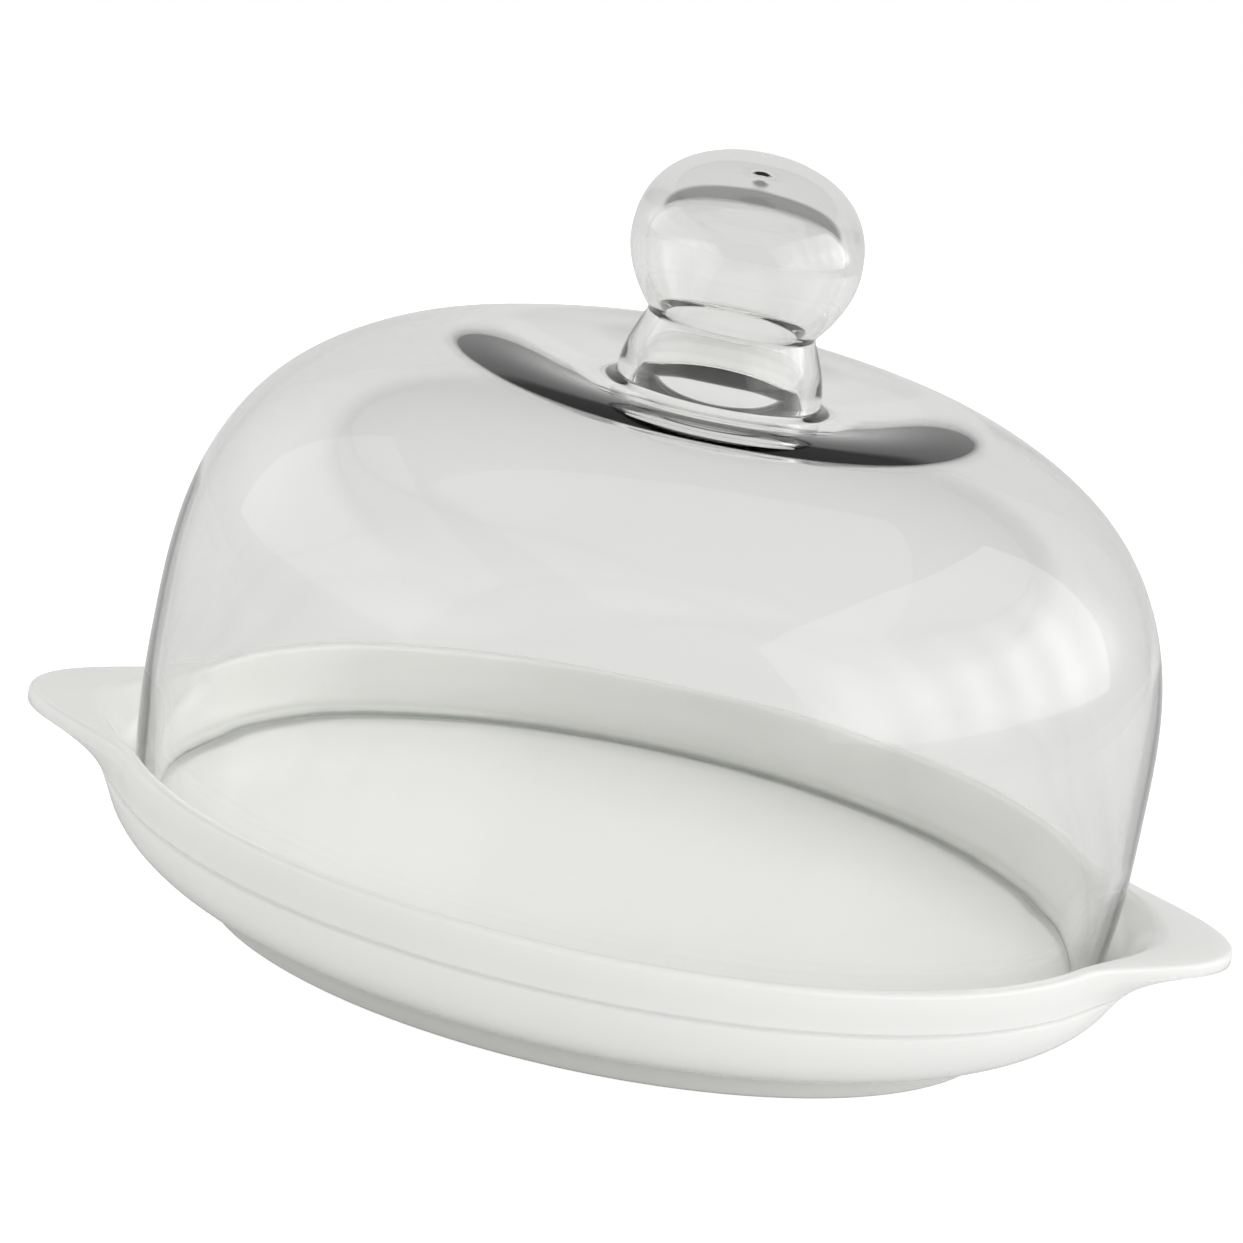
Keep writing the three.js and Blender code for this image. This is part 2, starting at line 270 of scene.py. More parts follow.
class StudioSettings(PropertyGroup):
    """Camera, floor and light."""

    azimuth: angle("Azimuth", "Camera to the side of the front", 3.717)
    elevation: angle("Elevation", "Camera above the table", 13.622)
    roll: angle("Roll", "Camera turned about its own line of sight", 11.740)
    pan: angle("Pan", "Camera turned aside from the middle of the object", 0.4047)
    tilt: angle("Tilt", "Camera turned down from the middle of the object", -0.2781)
    aim_height: length("Aim Height", "Height of the middle of the object", 70.0 * MM)
    distance: length("Distance", "Camera to the middle of the object", 1.4)
    lens: FloatProperty(
        name="Lens", description="Focal length on a 36 mm frame", default=229.3, unit="CAMERA"
    )
    table_radius: length("Table Radius", "Reach of the table top", 0.8)
    floor: colour("Floor", "Colour of the table top", (0.84, 0.84, 0.84))
    floor_glow: number("Floor Glow", "Lift of the floor towards white in the picture", 0.7)
    floor_bounce: number("Floor Bounce", "Added light from the floor under the dish", 0.18)
    room: colour("Room", "Colour of the light from all round", (1.0, 1.0, 0.992))
    room_strength: number("Room Strength", "Light from all round", 0.28)
    sweep: number("Sweep", "Brightness of the backdrop low down", 0.71)
    sweep_top: share("Sweep Top", "Sine of the height at which the backdrop ends", 0.53)
    shade_edge: share("Shade Edge", "Cosine of the dark back's half width", 0.94)
    shade_top: share("Shade Top", "Sine of the height at which the dark back ends", 0.83)
    front_fill: number("Front Fill", "Added light from the camera's side", 0.48)
    back_shade: share("Back Shade", "How dark the room is behind the table", 0.94)
    ceiling: number("Ceiling", "Brightness of the overhead soft box", 0.47)
    window: number("Window", "Brightness of the wide soft box on the right", 0.95)
    left_panel: number("Left Panel", "Brightness of the soft box on the left", 0.5)
    window_mirrored: number("Window Mirrored", "Window as the glass mirrors it", 1.1)
    left_mirrored: number("Left Mirrored", "Left panel as the glass mirrors it", 0.2)
    bars: share("Bars", "Depth of the folds of the curtain in the window", 0.55)
    folds: number("Folds", "How close the folds of the curtain are", 24.0)


class Value:
    """A socket that takes part in sums, each of which adds a Math node."""

    def __init__(self, nodes, socket):
        self.nodes = nodes
        self.socket = socket

    def math(self, operation, *others):
        sockets = dict(enumerate((self, *others)))
        return self.nodes.add("ShaderNodeMath", {"operation": operation}, sockets)

    def __add__(self, other):
        return self.math("ADD", other)

    def __radd__(self, other):
        return self.math("ADD", other)

    def __sub__(self, other):
        return self.math("SUBTRACT", other)

    def __rsub__(self, other):
        return self.nodes.add("ShaderNodeMath", {"operation": "SUBTRACT"}, {0: other, 1: self})

    def __mul__(self, other):
        return self.math("MULTIPLY", other)

    def __rmul__(self, other):
        return self.math("MULTIPLY", other)

    def __truediv__(self, other):
        return self.math("DIVIDE", other)

    def __rtruediv__(self, other):
        return self.nodes.add("ShaderNodeMath", {"operation": "DIVIDE"}, {0: other, 1: self})

    def within(self, low, high):
        """0 below low, 1 above high and a smooth step between."""
        return self.nodes.add(
            "ShaderNodeMapRange",
            {"interpolation_type": "SMOOTHSTEP"},
            {"Value": self, "From Min": low, "From Max": high},
        )


class Nodes:
    """A node tree that is filled in by code."""

    # The Mix node's sockets for colours, which have the names of those for numbers
    MIX_FACTOR, MIX_FIRST, MIX_SECOND, MIX_RESULT = 0, 6, 7, 2

    def __init__(self, tree):
        self.tree = tree
        tree.nodes.clear()

    def node(self, kind, settings=None, sockets=None):
        """A node of a kind, with its settings made first and then its sockets filled or linked."""
        made = self.tree.nodes.new(kind)
        for name, value in (settings or {}).items():
            setattr(made, name, value)
        for name, value in (sockets or {}).items():
            if isinstance(value, Value):
                self.tree.links.new(value.socket, made.inputs[name])
            else:
                made.inputs[name].default_value = value
        return made

    def add(self, kind, settings=None, sockets=None, output=0):
        """One output of a new node."""
        return Value(self, self.node(kind, settings, sockets).outputs[output])

    def mix(self, factor, first, second):
        """A colour between two colours."""
        return self.add(
            "ShaderNodeMix",
            {"data_type": "RGBA"},
            {self.MIX_FACTOR: factor, self.MIX_FIRST: first, self.MIX_SECOND: second},
            output=self.MIX_RESULT,
        )

    def split(self, vector):
        """The X, Y and Z of a vector."""
        parts = self.node("ShaderNodeSeparateXYZ", {}, {0: vector})
        return [Value(self, socket) for socket in parts.outputs]


def rgba(value):
    return (*value, 1.0)


def clamp(value):
    return max(0.0, min(1.0, value))


def point(radius, height):
    """A point of a profile."""
    return Vector((radius, 0.0, height))


def signed_power(value, exponent):
    return 0.0 if abs(value) < TINY else math.copysign(abs(value) ** exponent, value)


def arc(centre, across, up, start, end, steps, fullness=PLAIN_ELLIPSE):
    """Points on an arc of an ellipse, in degrees: 0 points outwards and 90 up."""
    power = PLAIN_ELLIPSE / fullness
    points = []
    for i in range(steps + 1):
        turn = math.radians(start + (end - start) * i / steps)
        x = across * signed_power(math.cos(turn), power)
        points.append(centre + point(x, up * signed_power(math.sin(turn), power)))
    return points


def rounding(centre, radius, start, end, steps):
    """Points on a round edge or corner."""
    return arc(centre, radius, radius, start, end, steps)


def bend(start, corner, end, steps):
    """Points on a curve from start to end that heads for a corner between them."""
    ts = [i / steps for i in range(steps + 1)]
    return [start * (1 - t) ** 2 + corner * 2 * t * (1 - t) + end * t**2 for t in ts]


def upright(start, end, start_share, end_share, steps):
    """Points on a curve that leaves start and reaches end upright."""
    rise = end.z - start.z
    first = start + point(0, rise * start_share)
    last = end - point(0, rise * end_share)
    ts = [i / steps for i in range(steps + 1)]
    return [
        start * (1 - t) ** 3 + first * 3 * t * (1 - t) ** 2 + last * 3 * t**2 * (1 - t) + end * t**3
        for t in ts
    ]


def height_share(width_share, fullness):
    """Height of a full ellipse where it has a share of its greatest width."""
    return (1 - width_share**fullness) ** (1 / fullness)


def angle_at_width(width_share, fullness):
    """Angle in degrees at which a full ellipse has a share of its greatest width."""
    return math.degrees(math.acos(width_share ** (fullness / PLAIN_ELLIPSE)))


def dish_profile(s):
    """Points from the middle of the floor over the lip to the middle of the underside.

    With each point goes how far it is pulled out at the ears, as a share of their reach.
    """
    lip_inner = s.lip_radius - s.lip_thickness
    wall_foot = lip_inner - s.wall_flare
    lip_level = s.height - s.lip_round
    groove_level = s.height - s.band_height
    band_radius = s.lip_radius - s.band_taper
    belly_top = groove_level - s.groove_width / 2
    belly_foot = s.foot_radius + s.foot_draft
    foot_inner = s.foot_radius - s.foot_width
    recess = foot_inner - s.foot_draft
    ceiling = s.floor_height - s.floor_thickness
    corner = point(wall_foot - s.corner_round, s.floor_height + s.corner_round)
    reach = s.ear_span / 2 - s.lip_radius

    inside = [point(corner.x * i / FLOOR_STEPS, s.floor_height) for i in range(FLOOR_STEPS)]
    inside += rounding(corner, s.corner_round, -90, 0, CORNER_STEPS)
    inside += upright(
        point(wall_foot, corner.z), point(lip_inner, lip_level), WALL_EASE, WALL_EASE, WALL_STEPS
    )[1:]
    lip_side = point(lip_inner + s.lip_round, lip_level)
    inside += rounding(lip_side, s.lip_round, 180, 90, CORNER_STEPS)[1:]

    band_top = point(s.lip_radius, s.height - s.ear_thickness)
    band_foot = point(band_radius, groove_level + s.groove_width / 2)
    lip_side = point(s.lip_radius - s.lip_round, lip_level)
    outside = rounding(lip_side, s.lip_round, 90, 0, CORNER_STEPS)
    outside += upright(band_top, band_foot, WALL_EASE, WALL_EASE, WALL_STEPS)
    for i in range(1, GROOVE_STEPS):
        dip = s.groove_depth * math.sin(math.pi * i / GROOVE_STEPS) ** 2
        outside.append(point(band_radius - dip, band_foot.z - s.groove_width * i / GROOVE_STEPS))
    outside += arc(
        point(belly_foot, belly_top), band_radius - belly_foot, belly_top - s.foot_height,
        0, -90, BELLY_STEPS, s.belly_fullness,
    )
    foot_side = point(s.foot_radius - s.foot_round, s.foot_round)
    outside += rounding(foot_side, s.foot_round, 0, -90, FOOT_STEPS)
    foot_side = point(foot_inner + s.foot_round, s.foot_round)
    outside += rounding(foot_side, s.foot_round, -90, -180, FOOT_STEPS)
    outside += [
        point(recess * (1 - i / RECESS_STEPS), ceiling) for i in range(RECESS_STEPS + 1)
    ]

    pulls = []
    for p in inside:
        climb = (p.z - s.floor_height) / (s.height - s.floor_height)
        pulls.append(s.ear_mouth / reach * climb**MOUTH_EASE)
    for p in outside:
        climb = (p.z - s.height + s.ear_depth) / (s.ear_depth - s.ear_thickness)
        pulls.append(clamp(climb) ** EAR_HOLLOW)
    return inside + outside, pulls


def sunken(points, s):
    """The crown sunk in round the knob."""
    lowered = []
    for p in points:
        out = clamp((p.x - s.knob_foot) / (s.dip_radius - s.knob_foot))
        lowered.append(p - point(0, s.crown_dip * (1 + math.cos(math.pi * out)) / 2))
    return lowered


def inner_wall(outer, s):
    """The inner face of the wall from the bottom edge up, thickest at the knob's foot."""
    inner = []
    for i, p in enumerate(outer):
        along = outer[min(i + 1, len(outer) - 1)] - outer[max(i - 1, 0)]
        inward = Vector((along.z, 0, -along.x)).normalized()
        climb = clamp((p.z - s.base_height) / s.thin_height)
        far = clamp((s.thin_radius - p.x) / (s.thin_radius - s.thick_radius))
        near = clamp((s.thick_radius - p.x) / (s.thick_radius - s.knob_foot))
        glass = s.wall + (s.thin_wall - s.wall) * climb
        glass += (s.shoulder_glass - s.thin_wall) * far
        glass += (s.crown_glass - s.shoulder_glass) * near
        inner.append(p + inward * glass)
    return inner[::-1]


def knob_side(s, depth, seat):
    """The side of the knob from its widest ring down to the seat, at a depth in the glass."""
    neck = point(s.neck_radius - depth, seat + s.neck_height)
    widest = point(s.knob_radius - depth, seat + s.knob_equator)
    foot = point(s.knob_foot - depth, seat)
    ball = upright(widest, neck, s.knob_swell, s.neck_soft, BALL_STEPS)
    return ball + upright(neck, foot, s.flare_start, s.flare_end, DRUM_STEPS)[1:]


def cover_profile(s):
    """Points from the top of the knob down the outside and up the inside to the bubble's top."""
    belly_radius = s.base_radius + s.belly_swell
    belly_level = s.base_height + s.belly_height
    rise = s.height - s.belly_height
    seat_share = s.knob_foot / belly_radius
    seat = belly_level + rise * height_share(seat_share, s.fullness) - s.crown_dip
    equator = seat + s.knob_equator
    edge = s.base_height + s.edge_round

    knob = arc(
        point(0, equator), s.knob_radius, s.knob_rise, 90, 0, KNOB_TOP_STEPS, s.knob_fullness
    )
    knob = [p - point(0, s.pontil * math.exp(-((p.x / s.pontil_radius) ** 2))) for p in knob]
    knob += knob_side(s, 0, seat)[1:]
    shoulder = arc(
        point(0, belly_level), belly_radius, rise,
        angle_at_width(seat_share, s.fullness), 0, SHOULDER_STEPS, s.fullness,
    )
    outer = sunken(shoulder, s) + bend(
        point(belly_radius, belly_level),
        point(belly_radius, (belly_level + edge) / 2),
        point(s.base_radius, edge),
        SIDE_STEPS,
    )[1:]
    rim_side = point(s.base_radius - s.edge_round, edge)
    rim = rounding(rim_side, s.edge_round, 0, -90, RIM_STEPS)
    rim_side = point(s.base_radius - s.wall + s.edge_round, edge)
    rim += rounding(rim_side, s.edge_round, -90, -180, RIM_STEPS)

    inner = [p for p in inner_wall(outer, s) if p.x > s.throat_start]
    throat_top = seat + s.throat_end - WELD
    side = [p for p in knob_side(s, s.knob_wall, seat)[::-1] if p.z > throat_top]
    slope = (inner[-1] - inner[-2]).normalized()
    aim = inner[-1] + slope * ((side[0].x - inner[-1].x) / slope.x)
    throat = bend(inner[-1], aim, side[0], THROAT_STEPS)[1:] + side[1:]
    bubble = arc(
        point(0, equator), s.knob_radius - s.knob_wall, s.knob_rise - s.bubble_glass,
        0, 90, BUBBLE_STEPS, s.knob_fullness,
    )
    return knob + outer[1:] + rim[1:] + inner[1:] + throat + bubble[1:]


def cover_gives(profile, s):
    """How far each point of the cover's profile follows the waves, outside and then inside."""
    lowest = min(range(len(profile)), key=lambda i: profile[i].z)
    gives = []
    for i, p in enumerate(profile):
        above = clamp((p.z - s.base_height - STILL_EDGE) / EDGE_FADE)
        side = 1.0 if i < lowest else s.inner_wave
        gives.append(side * above * clamp((p.x - STILL_MIDDLE) / MIDDLE_FADE))
    return gives


def turning_tree():
    """A tree that turns a profile about the axis, pulls out ears and lets the wall wave."""
    tree = bpy.data.node_groups.new("turned_piece", "GeometryNodeTree")
    face = tree.interface
    face.new_socket("Profile", in_out="INPUT", socket_type="NodeSocketGeometry")
    for name, kind in (
        ("Facets", "NodeSocketInt"),
        ("Ear Reach", "NodeSocketFloat"),
        ("Ear Half Angle", "NodeSocketFloat"),
        ("Waviness", "NodeSocketFloat"),
        ("Wave Size", "NodeSocketFloat"),
        ("Seed", "NodeSocketFloat"),
        ("Material", "NodeSocketMaterial"),
    ):
        face.new_socket(name, in_out="INPUT", socket_type=kind)
    face.new_socket("Piece", in_out="OUTPUT", socket_type="NodeSocketGeometry")

    nodes = Nodes(tree)
    given = {s.name: Value(nodes, s) for s in nodes.node("NodeGroupInput").outputs if s.name}
    profile = given["Profile"]
    facets = given["Facets"]

    def whole(operation, first, second):
        sockets = {0: first, 1: second}
        return nodes.add("FunctionNodeIntegerMath", {"operation": operation}, sockets)

    row = whole("ADD", facets, 1)
    rings = nodes.add(
        "GeometryNodeAttributeDomainSize", {"component": "MESH"}, {"Geometry": profile}
    )
    grid = nodes.add("GeometryNodeMeshGrid", {}, {"Vertices X": rings, "Vertices Y": row})
    index = nodes.add("GeometryNodeInputIndex")
    ring = whole("DIVIDE_FLOOR", index, row)
    step = whole("MODULO", index, row)

    def on_profile(kind, value):
        return nodes.add(
            "GeometryNodeSampleIndex",
            {"data_type": kind, "domain": "POINT"},
            {"Geometry": profile, "Value": value, "Index": ring},
        )

    def named(name):
        kind = {"data_type": "FLOAT"}
        value = nodes.add("GeometryNodeInputNamedAttribute", kind, {"Name": name})
        return on_profile("FLOAT", value)

    position = nodes.add("GeometryNodeInputPosition")
    radius, _, height = nodes.split(on_profile("FLOAT_VECTOR", position))
    turn = (step / facets) * math.tau
    off_axis = turn.math("SINE").math("ABSOLUTE").math("ARCSINE")
    fall = (off_axis / given["Ear Half Angle"]).math("MINIMUM", 1.0)
    ear = ((fall * math.pi).math("COSINE") + 1.0) * 0.5
    pulled = radius + named("pull") * given["Ear Reach"] * ear
    turned = nodes.add(
        "ShaderNodeCombineXYZ",
        {},
        {0: pulled * turn.math("COSINE"), 1: pulled * turn.math("SINE"), 2: height},
    )
    form = nodes.add("GeometryNodeSetPosition", {}, {"Geometry": grid, "Position": turned})
    closed = nodes.add("GeometryNodeMergeByDistance", {}, {"Geometry": form, "Distance": WELD})

    noise = nodes.add(
        "ShaderNodeTexNoise",
        {"noise_dimensions": "4D"},
        {
            "Vector": position,
            "W": given["Seed"],
            "Scale": 1.0 / given["Wave Size"],
            "Detail": WAVE_DETAIL,
        },
    )
    give = (noise - 0.5) * given["Waviness"] * named("give") * 2.0
    wave = nodes.add(
        "ShaderNodeVectorMath",
        {"operation": "SCALE"},
        {0: nodes.add("GeometryNodeInputNormal"), "Scale": give},
    )
    waved = nodes.add("GeometryNodeSetPosition", {}, {"Geometry": closed, "Offset": wave})
    smooth = nodes.add("GeometryNodeSetShadeSmooth", {}, {"Geometry": waved})
    real = nodes.add("GeometryNodeRealizeInstances", {}, {"Geometry": smooth})
    made = nodes.add(
        "GeometryNodeSetMaterial", {}, {"Geometry": real, "Material": given["Material"]}
    )
    nodes.node("NodeGroupOutput", {}, {"Piece": made})
    return tree


def in_scene(name, data):
    """A new object in the scene."""
    made = bpy.data.objects.new(name, data)
    bpy.context.scene.collection.objects.link(made)
    return made


def turned_piece(name, profile, pulls, gives, inputs):
    """A plain mesh object from a profile, made by the turning tree."""
    mesh = bpy.data.meshes.new(name)
    mesh.from_pydata(profile, [(i, i + 1) for i in range(len(profile) - 1)], [])
    for attribute, values in (("pull", pulls), ("give", gives)):
        mesh.attributes.new(attribute, "FLOAT", "POINT").data.foreach_set("value", values)
    piece = in_scene(name, mesh)
    tree = bpy.data.node_groups.get("turned_piece") or turning_tree()
    modifier = piece.modifiers.new("Turning", "NODES")
    modifier.node_group = tree
    for item in tree.interface.items_tree:
        if item.in_out == "INPUT" and item.name in inputs:
            modifier[item.identifier] = inputs[item.name]
    graph = bpy.context.evaluated_depsgraph_get()
    turned = bpy.data.meshes.new_from_object(piece.evaluated_get(graph), depsgraph=graph)
    piece.modifiers.remove(modifier)
    piece.data = turned
    turned.name = name
    bpy.data.meshes.remove(mesh)
    return piece


def new_material(name):
    material = bpy.data.materials.new(name)
    material.use_nodes = True
    return material, Nodes(material.node_tree)


def porcelain(s):
    """White glaze, darker in the groove, lighter up the inner wall as painted light, bare under the
    foot ring.
    """
    material, nodes = new_material("white_glaze")
    place = nodes.add("ShaderNodeTexCoord", output="Object")
    across, along, height = nodes.split(place)
    radius = (across * across + along * along).math("SQRT")

    def noise(scale, detail):
        sockets = {"Vector": place, "Scale": scale, "Detail": detail}
        return nodes.add("ShaderNodeTexNoise", {}, sockets)

    cloud = noise(CLOUD_SCALE, CLOUD_DETAIL)
    peel = noise(PEEL_SCALE, PEEL_DETAIL)
    pin = nodes.add("ShaderNodeTexVoronoi", {}, {"Vector": place, "Scale": SPECK_SCALE})
    speck = 1.0 - pin.within(*SPECK_EDGE)
    bare = 1.0 - height.within(*BARE_EDGE)
    off_groove = (height - (s.height - s.band_height)).math("ABSOLUTE")
    groove = 1.0 - off_groove.within(GROOVE_CORE, s.groove_width * GROOVE_REACH)
    lip_inner = s.lip_radius - s.lip_thickness
    # Painted light: inside marks the inner wall, which is painted lighter than the outside
    painted_light_above_floor = height.within(s.floor_height, s.floor_height + PAINTED_LIGHT_RISE)
    inside = painted_light_above_floor * (1.0 - radius.within(lip_inner, lip_inner + s.lip_thickness / 2))

    # The glaze is darker in the turned groove
    groove_darkening = groove * (1.0 - inside) * GROOVE_DARKENING
    in_clouds = cloud.within(*CLOUD_EDGE) * CLOUD_POOLING
    # Painted light: the inner wall takes the lighter colour
    face = nodes.mix(inside, rgba(s.glaze), rgba(s.inner_wall_painted_light))
    glaze = nodes.mix((groove_darkening + in_clouds).math("MINIMUM", 1.0), face, rgba(s.darker_glaze))
    specked = nodes.mix(speck * SPECK_STRENGTH, glaze, rgba(SPECK_COLOUR))
    glazed_roughness = GLAZE_ROUGHNESS + cloud * CLOUD_ROUGHNESS
    bump = nodes.add(
        "ShaderNodeBump",
        {},
        {"Strength": PEEL_STRENGTH, "Distance": PEEL_DEPTH, "Height": peel},
    )
    shader = nodes.add(
        "ShaderNodeBsdfPrincipled",
        {},
        {
            "Base Color": nodes.mix(bare, specked, rgba(s.bisque)),
            "Roughness": glazed_roughness * (1.0 - bare) + bare * BARE_ROUGHNESS,
            "Normal": bump,
            "IOR": GLAZE_IOR,
            "Coat Weight": (1.0 - bare) * COAT,
            "Coat Roughness": COAT_ROUGHNESS,
            "Subsurface Weight": s.translucency,
            "Subsurface Radius": LIGHT_SPREAD,
            "Subsurface Scale": LIGHT_REACH,
        },
    )
    nodes.node("ShaderNodeOutputMaterial", {}, {"Surface": shader})
    return material


def blown_glass(s):
    """Clear glass with faint ripples, wiping marks and a grey-green painted shadow along the bottom
    edge, open to lamp light.
    """
    material, nodes = new_material("blown_glass")
    place = nodes.add("ShaderNodeTexCoord", output="Object")
    stretched = nodes.add("ShaderNodeMapping", {}, {"Vector": place, "Scale": RIPPLE_STRETCH})
    ripple = nodes.add(
        "ShaderNodeTexNoise",
        {},
        {"Vector": stretched, "Scale": RIPPLE_SCALE, "Detail": RIPPLE_DETAIL},
    )
    wiped = nodes.add(
        "ShaderNodeTexNoise",
        {},
        {
            "Vector": place,
            "Scale": WIPE_SCALE,
            "Detail": WIPE_DETAIL,
            "Distortion": WIPE_DISTORTION,
        },
    )
    height = nodes.split(place)[2]
    # Painted shadow: edge marks the bottom edge, which is painted dark where it stands on the dish
    edge = 1.0 - height.within(s.base_height + PAINTED_SHADOW_START, s.base_height + PAINTED_SHADOW_END)
    bump = nodes.add(
        "ShaderNodeBump",
        {},
        {"Strength": RIPPLE_STRENGTH, "Distance": RIPPLE_DEPTH, "Height": ripple},
    )
    glass = nodes.add(
        "ShaderNodeBsdfPrincipled",
        {},
        {
            "Base Color": nodes.mix(edge, rgba(s.tint), rgba(s.edge_painted_shadow)),
            "Roughness": wiped.within(*WIPE_EDGE) * WIPE_ROUGHNESS,
            "IOR": s.ior,
            "Transmission Weight": 1.0,
            "Normal": bump,
        },
    )
    clear = nodes.add("ShaderNodeBsdfTransparent", {}, {"Color": rgba(s.tint)})
    shadow_ray = nodes.add("ShaderNodeLightPath", output="Is Shadow Ray")
    shown = nodes.add("ShaderNodeMixShader", {}, {0: shadow_ray, 1: glass, 2: clear})
    nodes.node("ShaderNodeOutputMaterial", {}, {"Surface": shown})
    return material


class CAKEDOME_OT_dish(Operator):
    """Make the porcelain serving dish with its two ears"""

    bl_idname = "cakedome.dish"
    bl_label = "Serving Dish"

    def execute(self, context):
        s = context.scene.cake_dome_dish
        profile, pulls = dish_profile(s)
        inputs = {
            "Facets": s.facets,
            "Ear Reach": s.ear_span / 2 - s.lip_radius,
            "Ear Half Angle": math.asin(s.ear_width / 2 / s.lip_radius),
            "Material": porcelain(s),
            **NO_WAVES,
        }
        dish = turned_piece("porcelain_dish", profile, pulls, [0.0] * len(profile), inputs)
        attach(dish, "dish")
        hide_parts("serving_dish")
        return {"FINISHED"}


class CAKEDOME_OT_cover(Operator):
    """Make the glass cover, dome and hollow knob in one melted piece"""

    bl_idname = "cakedome.cover"
    bl_label = "Glass Cover"

    def execute(self, context):
        s = context.scene.cake_dome_cover
        profile = cover_profile(s)
        gives = cover_gives(profile, s)
        inputs = {
            "Facets": s.facets,
            "Waviness": s.waviness,
            "Wave Size": s.wave_size,
            "Seed": WAVE_SEED,
            "Material": blown_glass(s),
            **NO_EARS,
        }
        cover = turned_piece("blown_cover", profile, [0.0] * len(profile), gives, inputs)
        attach(cover, "cover")
        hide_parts("glass_dome", "glass_knob")
        return {"FINISHED"}


def table_top(s):
    """A round pale table top, lifted towards white where the camera sees it."""
    mesh = bpy.data.meshes.new("table_top")
    turns = [math.tau * i / TABLE_FACETS for i in range(TABLE_FACETS)]
    edge = [(s.table_radius * math.cos(v), s.table_radius * math.sin(v), 0) for v in turns]
    mesh.from_pydata(edge, [], [range(TABLE_FACETS)])
    floor = in_scene("table_top", mesh)
    material, nodes = new_material("pale_table")
    seen = nodes.add("ShaderNodeLightPath", output="Is Camera Ray")
    bounced = nodes.add("ShaderNodeLightPath", output="Is Diffuse Ray")
    matt = nodes.add("ShaderNodeBsdfDiffuse", {}, {"Color": rgba(s.floor)})
    lift = seen * s.floor_glow + bounced * s.floor_bounce
    glow = nodes.add("ShaderNodeEmission", {}, {"Strength": lift})
    both = nodes.add("ShaderNodeAddShader", {}, {0: matt, 1: glow})
    nodes.node("ShaderNodeOutputMaterial", {}, {"Surface": both})
    mesh.materials.append(material)


def pale_room(s):
    """A room that is white to the camera, with a pale sweep, a dark back and panels to mirror."""
    world = bpy.data.worlds.new("pale_room")
    world.use_nodes = True
    bpy.context.scene.world = world
    nodes = Nodes(world.node_tree)
    seen = nodes.add("ShaderNodeLightPath", output="Is Camera Ray")
    across, away, up = nodes.split(nodes.add("ShaderNodeTexCoord", output="Generated"))
    low = 1.0 - up.within(s.sweep_top - SWEEP_FADE, s.sweep_top)
    behind = away.within(s.shade_edge - SHADE_FADE, s.shade_edge)
    shade = (1.0 - up.within(s.shade_top, s.shade_top + SHADE_FADE)) * behind * s.back_shade
    facing = (away * -1.0).within(*FRONT_EDGE) * s.front_fill
    upper = (facing + s.room_strength) * (1.0 - shade)
    level = up.within(*PANEL_FOOT) * (1.0 - up.within(*PANEL_TOP))
    fold = 1.0 - ((away * s.folds).math("SINE") * 0.5 + 0.5) * s.bars
    window = across.within(*WINDOW_EDGE) * level * fold * s.window_mirrored
    panel = (across * -1.0).within(*LEFT_EDGE) * level * s.left_mirrored
    strength = low * s.sweep + (1.0 - low) * upper + window + panel
    room = nodes.add("ShaderNodeBackground", {}, {"Color": rgba(s.room), "Strength": strength})
    white = nodes.add("ShaderNodeBackground", {}, {"Color": WHITE, "Strength": 1.0})
    both = nodes.add("ShaderNodeMixShader", {}, {0: seen, 1: room, 2: white})
    nodes.node("ShaderNodeOutputWorld", {}, {"Surface": both})


def soft_box(name, radiance, centre, aim, wide, high):
    """A soft box that lights the pieces and is seen neither directly nor mirrored."""
    light = bpy.data.lights.new(name, "AREA")
    light.shape = "RECTANGLE"
    light.size, light.size_y = wide, high
    light.energy = radiance * math.pi * wide * high
    box = in_scene(name, light)
    box.rotation_mode = "QUATERNION"
    box.location = centre
    box.rotation_quaternion = (Vector(aim) - Vector(centre)).to_track_quat("-Z", "Y")
    box.visible_camera = False
    box.visible_glossy = False


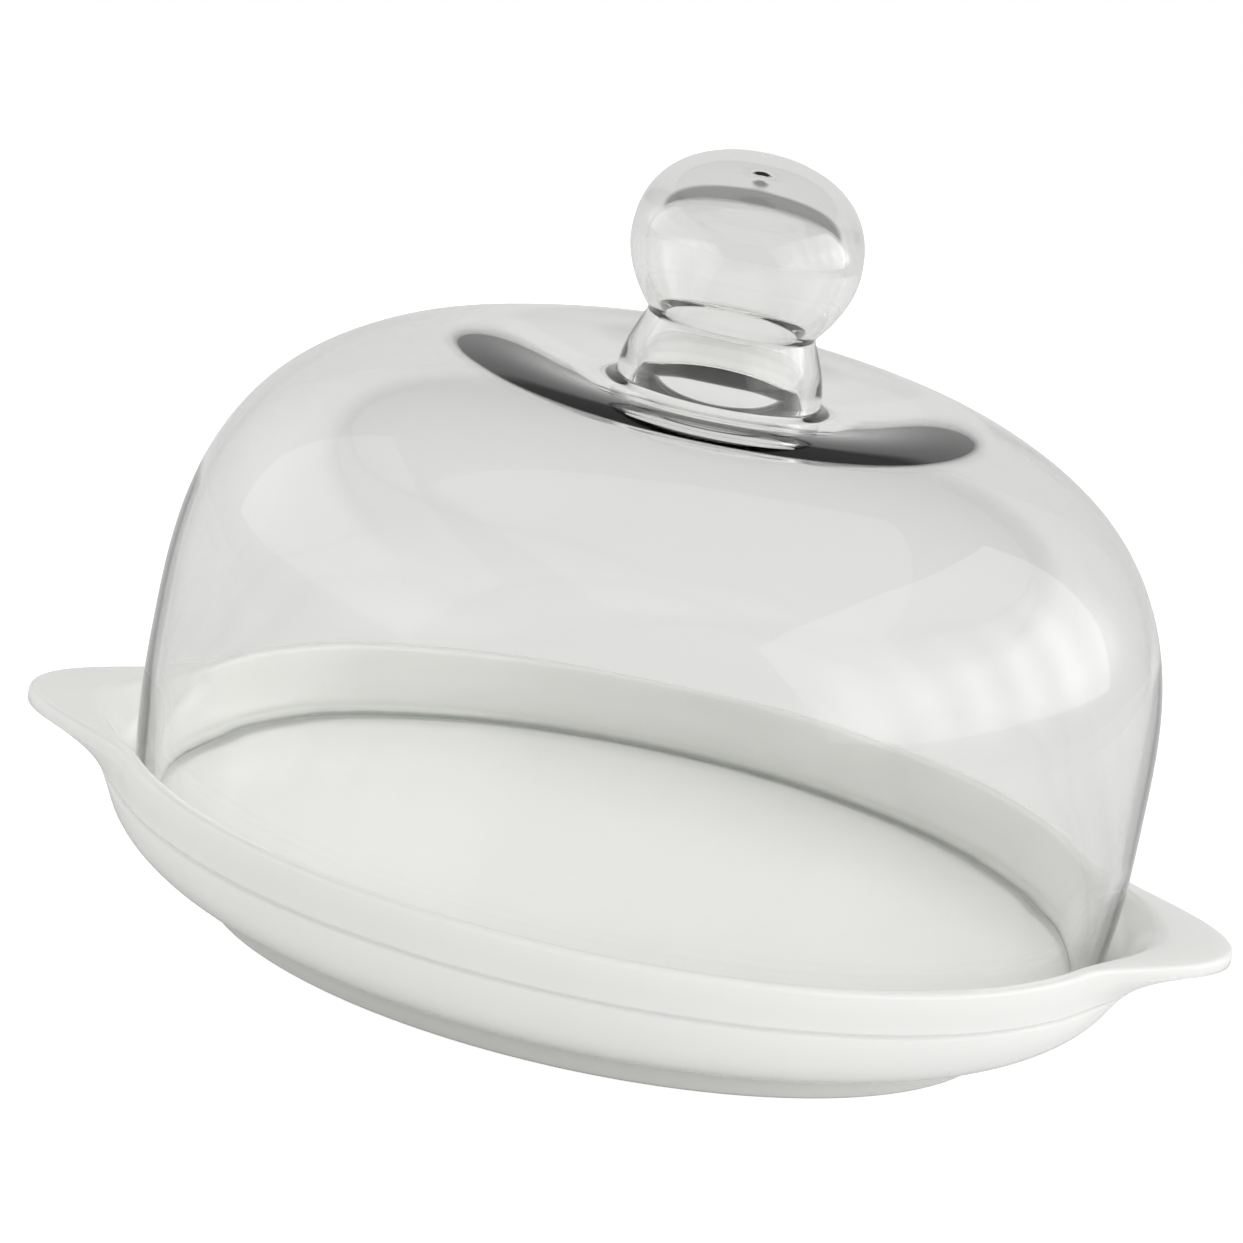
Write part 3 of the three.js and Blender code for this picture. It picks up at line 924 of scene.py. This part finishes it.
def place_camera(s):
    """A camera at the photograph's viewing angle."""
    a, e = s.azimuth, s.elevation
    back = Vector((math.sin(a) * math.cos(e), -math.cos(a) * math.cos(e), math.sin(e)))
    right = Vector((math.cos(a), math.sin(a), 0))
    level = Matrix((right, back.cross(right), back)).transposed()
    turned = (
        level
        @ Matrix.Rotation(s.roll, 3, "Z")
        @ Matrix.Rotation(s.pan, 3, "Y")
        @ Matrix.Rotation(s.tilt, 3, "X")
    )
    data = bpy.data.cameras.new("camera")
    data.sensor_width = FILM_WIDTH
    data.lens = s.lens
    data.clip_start, data.clip_end = CLIP_START, CLIP_END
    camera = in_scene("camera", data)
    eye = Vector((0, 0, s.aim_height)) + back * s.distance
    camera.matrix_world = Matrix.Translation(eye) @ turned.to_4x4()
    bpy.context.scene.camera = camera


class CAKEDOME_OT_studio(Operator):
    """Make the table top, the room, the soft boxes and the camera"""

    bl_idname = "cakedome.studio"
    bl_label = "Studio"

    def execute(self, context):
        s = context.scene.cake_dome_studio
        context.scene.view_settings.view_transform = "Standard"
        table_top(s)
        pale_room(s)
        for name, setting, *place in SOFT_BOXES:
            soft_box(name, getattr(s, setting), *place)
        place_camera(s)
        return {"FINISHED"}


class CAKEDOME_PT_sidebar(Panel):
    """The pieces of the cake dome and their sizes"""

    bl_idname = "CAKEDOME_PT_sidebar"
    bl_label = "Cake Dome"
    bl_space_type = "VIEW_3D"
    bl_region_type = "UI"
    bl_category = "Cake Dome"

    def draw(self, context):
        scene = context.scene
        for operator, settings in (
            (CAKEDOME_OT_dish, scene.cake_dome_dish),
            (CAKEDOME_OT_cover, scene.cake_dome_cover),
            (CAKEDOME_OT_studio, scene.cake_dome_studio),
        ):
            box = self.layout.box()
            box.operator(operator.bl_idname)
            for name in settings.__annotations__:
                box.prop(settings, name)


CLASSES = (
    DishSettings,
    CoverSettings,
    StudioSettings,
    CAKEDOME_OT_dish,
    CAKEDOME_OT_cover,
    CAKEDOME_OT_studio,
    CAKEDOME_PT_sidebar,
)


def register():
    for cls in CLASSES:
        bpy.utils.register_class(cls)
    bpy.types.Scene.cake_dome_dish = PointerProperty(type=DishSettings)
    bpy.types.Scene.cake_dome_cover = PointerProperty(type=CoverSettings)
    bpy.types.Scene.cake_dome_studio = PointerProperty(type=StudioSettings)


def unregister():
    del bpy.types.Scene.cake_dome_studio
    del bpy.types.Scene.cake_dome_cover
    del bpy.types.Scene.cake_dome_dish
    for cls in reversed(CLASSES):
        bpy.utils.unregister_class(cls)


def main():
    register()
    bpy.ops.cakedome.dish()
    bpy.ops.cakedome.cover()
    bpy.ops.cakedome.studio()


if __name__ == "__main__":
    main()
